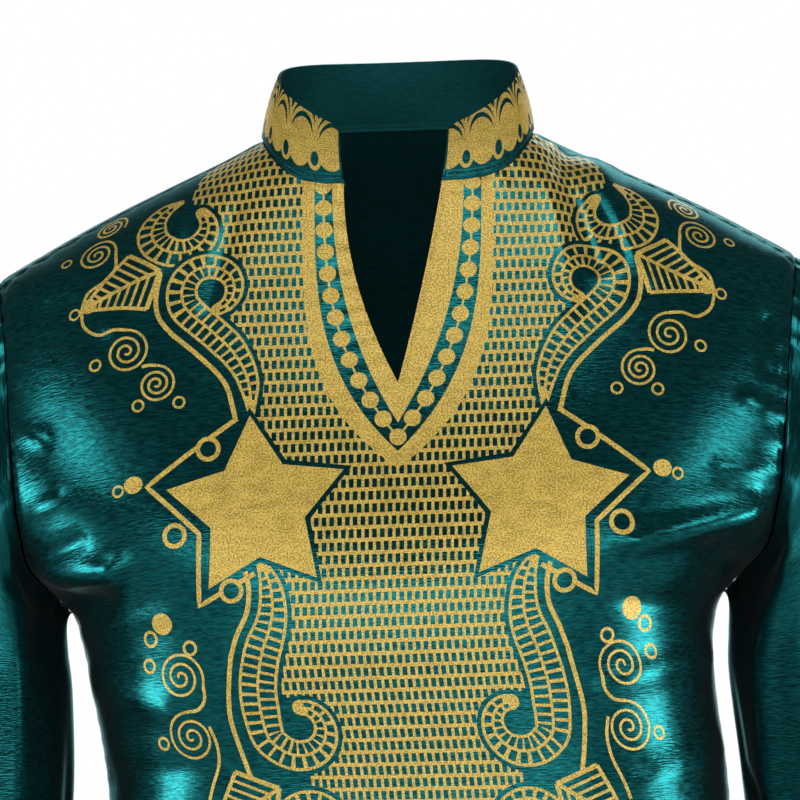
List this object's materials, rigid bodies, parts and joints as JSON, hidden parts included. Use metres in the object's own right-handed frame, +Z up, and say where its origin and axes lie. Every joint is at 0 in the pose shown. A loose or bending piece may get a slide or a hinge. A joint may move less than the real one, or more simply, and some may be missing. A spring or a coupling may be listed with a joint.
{
  "type": "dashiki shirt",
  "caption": "Long-sleeved dashiki shirt in printed satin, hollow as worn, with a stand collar and a V slit at the neck.",
  "frame": {"origin": "centre of the neck base, level with the points where the shoulder seams meet the collar, where the wearer's neck holds the shirt up", "axes": "+Z up along the wearer's neck, -Y out of the front, +X to the wearer's left; the longest side, 0.74 m, is along Z"},
  "size_m": [0.6146, 0.2444, 0.7437],
  "materials": {
    "printed_satin": "satin with a gold foil print",
    "plain_satin": "satin",
    "sleeve_satin": "satin",
    "printed_collar": "satin with a gold foil print"
  },
  "bodies": {
    "root": {"front": "printed_satin", "back": "plain_satin", "sleeve_left": "sleeve_satin", "sleeve_right": "sleeve_satin", "collar": "printed_collar"}
  },
  "joints": []
}
